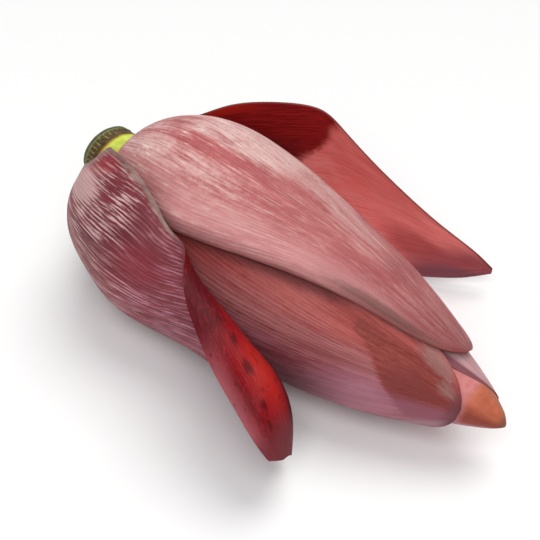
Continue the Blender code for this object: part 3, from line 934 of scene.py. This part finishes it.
# painted shade: darker beside the top bract's lip, where its shade falls
shaded = skin.step(beside_lip, 2.6, 0.4) * skin.step(skin.along, 14.5, 11.0)
dusty = skin.step(skin.spot((4.0, 13.0), (2.2, 3.6), 0.8) + skin.mottle * 0.8 + skin.comb * 0.8, 0.45, 1.15)
colour = skin.layers(round_bud, [
    ("lilac end", skin.spot((9.2, 18.0), (2.6, 2.4)) * 0.6, (178, 120, 138)),
    ("dark veins", vein * lined * 0.85, (98, 30, 42)),
    ("dark lines", skin.step(skin.comb, -0.02, -0.2) * (0.10 + lined * 0.15), (116, 42, 46)),
    ("pale lines", skin.step(skin.comb, 0.05, 0.2) * (0.08 + lined * 0.10), (204, 146, 144)),
    ("shaded side", shaded * 0.60, (134, 36, 34)),
    ("dusty wax", dusty * 0.25, (180, 112, 108)),
])

# %% [markdown]
# ## The low bract, rubbed bare near its end
#
# Near the end a patch is rubbed bare. Its border is clearer than a soft spot's, so it is a narrow step on a
# line that slants, roughened by the dashes and the mottle. Last come a grey bloom and a few pale flecks at
# the end, and painted shadows: in the crease beside the lip and behind the front bract's roll.

# %% Low bract: rubbed patch and painted shadows
past = skin.across - 3.3
past = past + (past * past + 0.02) ** 0.5
edge = skin.along - 16.3 - past ** 0.60 * 0.85 + skin.dash * 0.9 + skin.cloud * 0.5
rubbed = skin.step(edge + skin.mottle * 0.4, -0.16, 0.20) * skin.step(skin.across + skin.cloud, 1.4, 3.2)
bare = skin.layers(skin.two_tone(skin.comb + skin.band + skin.mottle, 0.25, (116, 38, 32), (146, 62, 52)), [
    ("bare middle", skin.spot((5.6, 20.2), (1.8, 1.4)) * 0.7, (118, 40, 38)),
    ("bare mauve", skin.step(skin.across, 6.8, 8.6), (142, 78, 92)),
])
bloom = skin.spot((1.2, 20.6), (1.3, 1.3)).either(skin.spot((0.8, 18.2), (1.1, 1.6)) * 0.7)
bloom = bloom.either(skin.spot((3.0, 21.7), (1.8, 0.6)) * 0.9)
bloom = skin.step(bloom + skin.mottle * 1.2 + skin.comb * 0.5, 0.30, 1.10)
flecks = skin.spot((0.9, 20.4), (1.0, 1.8)) * skin.step(skin.grain + skin.mottle, 0.22, 0.34)
# painted shadow in the crease beside the top bract's lip
crease_shadow = skin.step(beside_lip + skin.cloud * 0.4, 1.00, 0.10) * skin.step(skin.along, 17.0, 14.5)
colour = skin.layers(skin.mix(rubbed * 0.95, colour, bare), [
    ("grey bloom", bloom * 0.65, (146, 114, 108)),
    # painted light: paler underside near the end, as light coming back from the floor
    ("painted light from the floor", skin.spot((12.8, 21.2), (1.6, 1.6)) * 0.45, (176, 146, 156)),
    ("flecks", flecks * 0.8, (214, 196, 186)),
    ("end margin", skin.step(skin.along + skin.cloud * 0.6, 21.8, 22.5) * 0.8, (112, 58, 66)),
    ("crease_shadow", crease_shadow * 0.75, (80, 18, 20)),
    # painted shadow that the front bract's roll casts on this bract
    ("painted shadow of the roll", skin.spot((9.6, 13.6), (2.0, 3.0), 0.7) * 0.62, (64, 18, 28)),
])
skin.relief()
skin.set(Base_Color=colour, Roughness=0.52)

# %% [markdown]
# ## The front bract's streaks
#
# This one has left the bud and is darker, a maroon with the wax left only on the ridges of the veins. So the
# wax is a product: the ridges, broken by the dashes, times how much is left in that part of the sheet. Only
# near the base is it nearly whole. The margin by the crest has dried to a grey-brown strip.

# %% Front bract outside
skin = front_skin = Skin("front_outside", 37.0, front_veins, 0.24)
uneven = skin.band + skin.cloud + skin.mottle * 0.5
maroon = skin.layers(skin.two_tone(uneven, 0.30, (110, 34, 46), (144, 58, 68)), [
    ("deep middle", skin.spot((9.4, 6.0), (2.2, 3.4), 0.8) * 0.65, (98, 28, 42)),
    ("redder patch", skin.spot((8.8, 8.4), (1.5, 1.2), 0.8) * 0.5, (146, 38, 48)),
    ("near the crest", skin.step(skin.across, 9.6, 11.0) * 0.5, (112, 44, 52)),
    ("red base", skin.spot((11.0, 1.0), (0.6, 0.9)) * 0.8, (146, 40, 46)),
    ("pink base", skin.spot((10.2, 0.9), (0.6, 0.8)) * 0.7, (176, 112, 112)),
])
ridge = skin.step(skin.rib * 0.26 + skin.fine * 2.8 + skin.dash * 2.6, -0.02, 0.52)
wear = skin.patches(0.62, [
    (0.40, (8.4, 3.6), (1.6, 2.2)),
    (0.30, (10.0, 4.0), (1.2, 2.2)),
    (0.25, (6.4, 8.8), (1.4, 3.2)),
    (0.25, (4.6, 9.6), (1.2, 2.6)),
    (-0.35, (10.8, 7.4), (0.9, 2.0)),
    (-0.25, (6.9, 6.8), (1.0, 0.9)),
    (-0.30, (8.8, 9.0), (1.6, 1.4)),
])
wear = skin.step(wear + skin.band * 0.9 + skin.cloud * 0.6, 0.15, 1.0)
solid = skin.step(skin.spot((9.2, 1.5), (1.1, 2.2)) + skin.fine + skin.rib * 0.15, 0.35, 0.75)
streak = (ridge * wear).either(solid * 0.85)
wax = skin.mix(skin.step(skin.along, 6.5, 9.5), tint(212, 174, 170), tint(184, 130, 146))
torn = skin.step(skin.along + skin.cloud * 0.8 + skin.mottle * 0.4, 0.75, 0.25)
torn = torn * skin.step(skin.across, 6.5, 8.5)
colour = skin.layers(skin.mix(streak * 0.9, maroon, wax), [
    ("dark lines", skin.step(skin.comb, -0.05, -0.22) * 0.35, (92, 28, 38)),
    ("torn base", torn * 0.6, (152, 122, 122)),
])
margin = skin.across + skin.cloud * 0.5 + skin.dash * 0.5 + skin.spot((11.5, 4.8), (1.0, 2.6), 0.9) * 0.12
strip = skin.step(margin, 11.72, 11.90) * skin.step(skin.along, 11.0, 9.0)
colour = skin.mix(strip * 0.85, colour, skin.two_tone(skin.cloud, 0.2, (112, 86, 78), (158, 130, 120)))
skin.relief(0.00055)
skin.set(Base_Color=colour, Roughness=streak * 0.20 + 0.48)

# %% [markdown]
# ## The red insides
#
# Inside there is no wax to dull the pigment. The front bract's roll is crimson, with a painted highlight
# along its middle, painted shade at its root and where it turns under, a painted sheen along its free edge,
# and bruises where it was bent. A bend makes its bruises in a row, so those are small ovals, listed one by
# one, and only the fainter blotches between them come from noise.

# %% Inside of the front bract
skin = front_inside = Skin("front_inside", 43.0, straight_veins, 0.22)
fibres = skin.step(skin.fine + skin.dash, 0.05, 0.40) * skin.spot((8.9, 16.4), (1.1, 1.8))
# painted shade where the roll turns under, away from the light
turned_under_shade = skin.step(skin.across - skin.along * 0.10, 5.7, 5.0) * skin.step(skin.along, 15.0, 17.0)
bruised = skin.patches(0.0, [
    (0.9, (9.5, 15.0), (0.26, 0.34)),
    (0.9, (10.1, 14.0), (0.25, 0.25)),
    (0.9, (9.5, 16.6), (0.30, 0.45)),
    (0.9, (9.7, 18.4), (0.22, 0.25)),
    (0.9, (9.9, 19.3), (0.18, 0.22)),
])
blotch = skin.step(skin.noise(skin.across * 2.0, skin.along * 1.6, 6.0, 3.0, 0.6), 0.60, 0.68)
# painted sheen: pale pink along the roll's free edge, where it curves away
free_edge_sheen = skin.step(skin.across, 10.2, 12.0) * skin.step(skin.along, 13.5, 16.0)
uneven = skin.band + skin.cloud + skin.mottle * 0.6
crimson = skin.layers(skin.two_tone(uneven, 0.30, (98, 8, 16), (126, 12, 22)), [
    # painted highlight along the roll's middle, its ridge
    ("painted highlight on the middle", skin.spot((8.9, 16.6), (1.2, 2.2)) * 0.8, (146, 12, 20)),
    ("orange fibres", fibres * 0.45, (198, 66, 36)),
    ("orange glow", skin.spot((8.5, 17.2), (0.9, 1.7), 0.8) * 0.45, (186, 44, 28)),
    # painted shade where the roll starts beneath the bract's fold
    ("painted shade at the root", skin.spot((11.2, 12.8), (1.4, 2.0)) * 0.85, (76, 10, 20)),
    ("grain", skin.step(skin.mottle, 0.02, 0.16) * 0.30, (164, 44, 48)),
    ("painted shade, turned under", turned_under_shade, (64, 10, 20)),
    ("painted sheen on the free edge", free_edge_sheen * 0.75, (172, 92, 100)),
    ("dull end", skin.step(skin.along + skin.cloud, 19.0, 20.4) * 0.85, (104, 28, 36)),
    ("bruises", (blotch * 0.5).either(bruised), (84, 0, 6)),
])
skin.relief(0.00025)
skin.set(Base_Color=crimson, Roughness=0.42, sheen=0.12)

# %% [markdown]
# ## The salmon inside of the back bract
#
# This one stands up to the light. Its salmon is painted lighter than the pigment, as painted light on this
# face. It is dark red towards its base, partly pigment and partly painted shadow of the top bract, with
# painted shade deepest in a fold, and dull at its tip. The border of the dark red slants across the sheet
# and is rough, so the noises are added before the step.

# %% Inside of the back bract
skin = back_inside = Skin("back_inside", 53.0, back_veins, 0.20)
# painted light: the salmon is lighter than the pigment, standing in for light on this face
salmon = skin.layers(skin.two_tone(skin.band + skin.cloud, 0.25, (246, 124, 120), (251, 144, 138)), [
    ("dark lines", skin.step(skin.comb, -0.03, -0.2) * 0.35, (196, 70, 70)),
    ("pale lines", skin.step(skin.comb, 0.06, 0.2) * 0.30, (250, 156, 150)),
])
rough = skin.mottle * skin.step(skin.across, 7.5, 5.0) * 1.6
edge = skin.along - skin.across * 0.55 + skin.cloud * 1.6 + rough
# dark red towards the base: partly pigment, partly painted shadow of the top bract
deep = skin.two_tone(skin.comb, 0.2, (130, 16, 20), (164, 34, 34))
dark_tip = skin.step(skin.along - skin.across * 0.36 + skin.cloud, 14.4, 17.2)
red = skin.layers(skin.mix(skin.step(edge, 6.6, 5.8), salmon, deep), [
    # painted shade, deepest in the fold
    ("painted shade in the fold", skin.spot((5.6, 7.6), (0.9, 1.2), 0.8) * 0.6, (84, 20, 22)),
    ("lit edge", skin.step(skin.across, 8.0, 8.9) * skin.step(skin.along, 7.5, 5.5), (196, 44, 34)),
    ("dull patch", skin.spot((3.6, 16.4), (1.6, 1.6)) * 0.7, (156, 44, 50)),
    ("dark tip", dark_tip * 0.9, (148, 60, 68)),
    ("mauve margin", skin.spot((0.8, 18.4), (1.6, 2.2)) * 0.8, (118, 66, 78)),
])
skin.relief()
skin.set(Base_Color=red, Roughness=0.46)

# %% [markdown]
# ## The faces that stay half hidden
#
# Of the inner bract only a strip of its outside shows. The back bract's outside shows from behind, and the
# insides of the bracts that hug the bud are almost covered. The part is used from all sides, so these faces
# and the rims get the same layers, with fewer patches or none.

# %% The faces that stay half hidden
skin = inner_skin = Skin("inner_outside", 61.0, straight_veins, 0.20)
wedge = skin.step(skin.across + skin.cloud * 0.8 + skin.dash * 0.5, 12.75, 13.2)
pink = skin.layers(skin.two_tone(skin.band + skin.cloud, 0.25, (172, 124, 126), (192, 150, 152)), [
    ("dark lines", skin.step(skin.comb, -0.04, -0.2) * 0.3, (160, 90, 98)),
    ("pale lines", skin.step(skin.comb, 0.05, 0.2) * 0.3, (218, 188, 188)),
    ("dark wedge", wedge * 0.85, (116, 56, 66)),
])
skin.relief()
skin.set(Base_Color=pink, Roughness=0.6)

skin = back_skin = Skin("back_outside", 67.0, back_veins, 0.20)
streak = skin.rib * 0.1 + skin.fine + skin.dash * 1.3 + skin.band * 1.2 + skin.cloud * 1.2
streak = skin.step(streak, -0.05, 0.55)
purple = skin.layers(skin.two_tone(skin.band + skin.cloud, 0.25, (122, 50, 66), (150, 76, 90)), [
    ("wax streaks", streak * 0.75, (196, 154, 158)),
    ("dark lines", skin.step(skin.comb, -0.03, -0.22) * 0.35, (96, 34, 48)),
])
skin.relief()
skin.set(Base_Color=purple, Roughness=streak * 0.2 + 0.5)

skin = inside = Skin("inside", 71.0, straight_veins, 0.20)
red = skin.layers(skin.two_tone(skin.band + skin.cloud, 0.25, (140, 26, 32), (172, 44, 46)), [
    ("dark lines", skin.step(skin.comb, -0.04, -0.2) * 0.5, (112, 16, 24)),
])
skin.relief(0.00025)
skin.set(Base_Color=red, Roughness=0.45)

skin = rim = Skin("margin", 73.0, straight_veins, 0.20)
skin.set(Base_Color=skin.two_tone(skin.cloud, 0.2, (98, 34, 34), (134, 64, 60)), Roughness=0.7)

# %% [markdown]
# ## The bud's flesh
#
# The tip of the closed bud is young and has little wax: orange, pink near the bract that covers it, and
# darker below. Its colour hardly follows the veins, so soft specks mix its tones.

# %% Bud
skin = bud_skin = Skin("bud_outside", 83.0, straight_veins, 0.22)
soft = skin.speckle(0.014, 83.0, 3.0) - 0.5
fine = skin.speckle(0.0030, 85.0, 3.0) - 0.5
front_side = skin.across + soft * 1.2
lower = skin.step(front_side, 2.2, 5.0) * skin.step(skin.across, 16.0, 14.0)
far_side = skin.step(skin.across, 14.0, 20.0) * skin.step(skin.across, 25.8, 24.0)
orange = skin.layers(skin.two_tone(soft + fine * 0.5, 0.2, (172, 86, 58), (190, 104, 76)), [
    ("brown below", lower * 0.9, (132, 48, 32)),
    ("far side", far_side * 0.7, (150, 86, 58)),
    ("dark tip", skin.step(skin.along + soft * 0.8, 25.35, 25.8) * 0.7, (112, 66, 40)),
])
blush = skin.two_tone(soft + fine, 0.2, (192, 112, 110), (200, 126, 122))
belly = skin.step(front_side, 6.6, 7.8) * skin.step(skin.across, 17.0, 15.0)
flesh = skin.layers(skin.mix(skin.step(skin.along + soft * 0.5, 24.1, 23.5), orange, blush), [
    ("mauve belly", belly * 0.85, (176, 112, 124)),
])
skin.relief(0.0002)
skin.set(Base_Color=flesh, Roughness=0.5)

# %% [markdown]
# ## The cut stem
#
# The stem is yellow green where the bracts were joined to it, with a brown scar all round, an olive rim and
# a pale cut face. Its colours follow the share of the way from the cut's middle to the bud, so each ring is
# one step on that share.

# %% Stem
skin = stem_skin = Skin("stem_outside", 89.0, straight_veins, 0.30)
share = skin.along / STEM_MAP[1]
patchy = skin.cloud + skin.mottle
ring = share + skin.cloud * 0.04
green = skin.layers(skin.two_tone(skin.mottle + skin.cloud, 0.25, (178, 190, 66), (206, 220, 96)), [
    # painted shade: the green is paler next to the brown scar and darker towards the bud
    ("bright ring", skin.step(share + skin.cloud * 0.05, 0.76, 0.64) * 0.7, (214, 236, 88)),
    ("fibres", skin.step(skin.dash, 0.16, 0.24) * 0.6, (120, 116, 44)),
])
cell = (skin.across * (STEM_TICKS * math.pi / STEM_MAP[0]) + skin.cloud * 4.0).sine().size()
tick = skin.step(cell, 0.93, 0.99) * skin.step(share + skin.cloud * 0.18, 0.605, 0.575)
tick = tick * skin.step(skin.mottle + skin.cloud, -0.10, 0.12)
brown = skin.layers(skin.two_tone(patchy, 0.25, (62, 48, 26), (98, 78, 42)), [
    ("ticks", tick * 0.75, (176, 170, 112)),
])
side = skin.mix(skin.step(ring, 0.640, 0.700), tint(150, 92, 26), green)
side = skin.mix(skin.step(ring, 0.665, 0.625), side, brown)
side = skin.mix(skin.step(share, 0.440, 0.430) * 0.8, side, tint(126, 140, 84))
side = skin.mix(skin.step(share, 0.412, 0.402), side, skin.two_tone(patchy, 0.2, (58, 60, 38), (96, 98, 64)))
stain = skin.speckle(0.006, 91.0, 4.0)
cut = skin.mix(skin.step(stain, 0.40, 0.62), tint(208, 202, 160), tint(176, 160, 112))
cut = skin.layers(cut, [
    ("ring", skin.step((share - 0.17).size(), 0.020, 0.006) * 0.5, (140, 122, 78)),
    ("stains", skin.step(stain, 0.60, 0.68) * 0.7, (104, 74, 44)),
    ("cut fibres", skin.dots(0.10, 0.5, 2.0) * 0.6, (150, 118, 76)),
    ("green rim", skin.step(share, 0.20, 0.25) * 0.5, (120, 112, 70)),
])
skin.relief(0.0002)
skin.set(Base_Color=skin.mix(skin.step(share, 0.27, 0.25), side, cut), Roughness=0.6)

# %% [markdown]
# ## Handing the pieces over
#
# Each piece replaces its plain solid, which is hidden, and stays fixed to the same body. Its finishes go
# into its material slots in order. Every bract has three finishes: the outside, the inside and the rim.

# %% Handing the pieces over
def hand_over(piece, node, finishes):
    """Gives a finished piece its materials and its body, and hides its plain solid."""
    for index, finish in enumerate(finishes):
        piece.data.materials[index] = finish.material
    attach(piece, "root")
    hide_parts(node)


hand_over(top, "bract_top", (top_skin, inside, rim))
hand_over(low, "bract_low", (low_skin, inside, rim))
hand_over(inner, "bract_inner", (inner_skin, inside, rim))
hand_over(front, "bract_front", (front_skin, front_inside, rim))
hand_over(back, "bract_back", (back_skin, back_inside, rim))
hand_over(bud, "inner_bud", (bud_skin,))
hand_over(cut_stem, "peduncle", (stem_skin,))
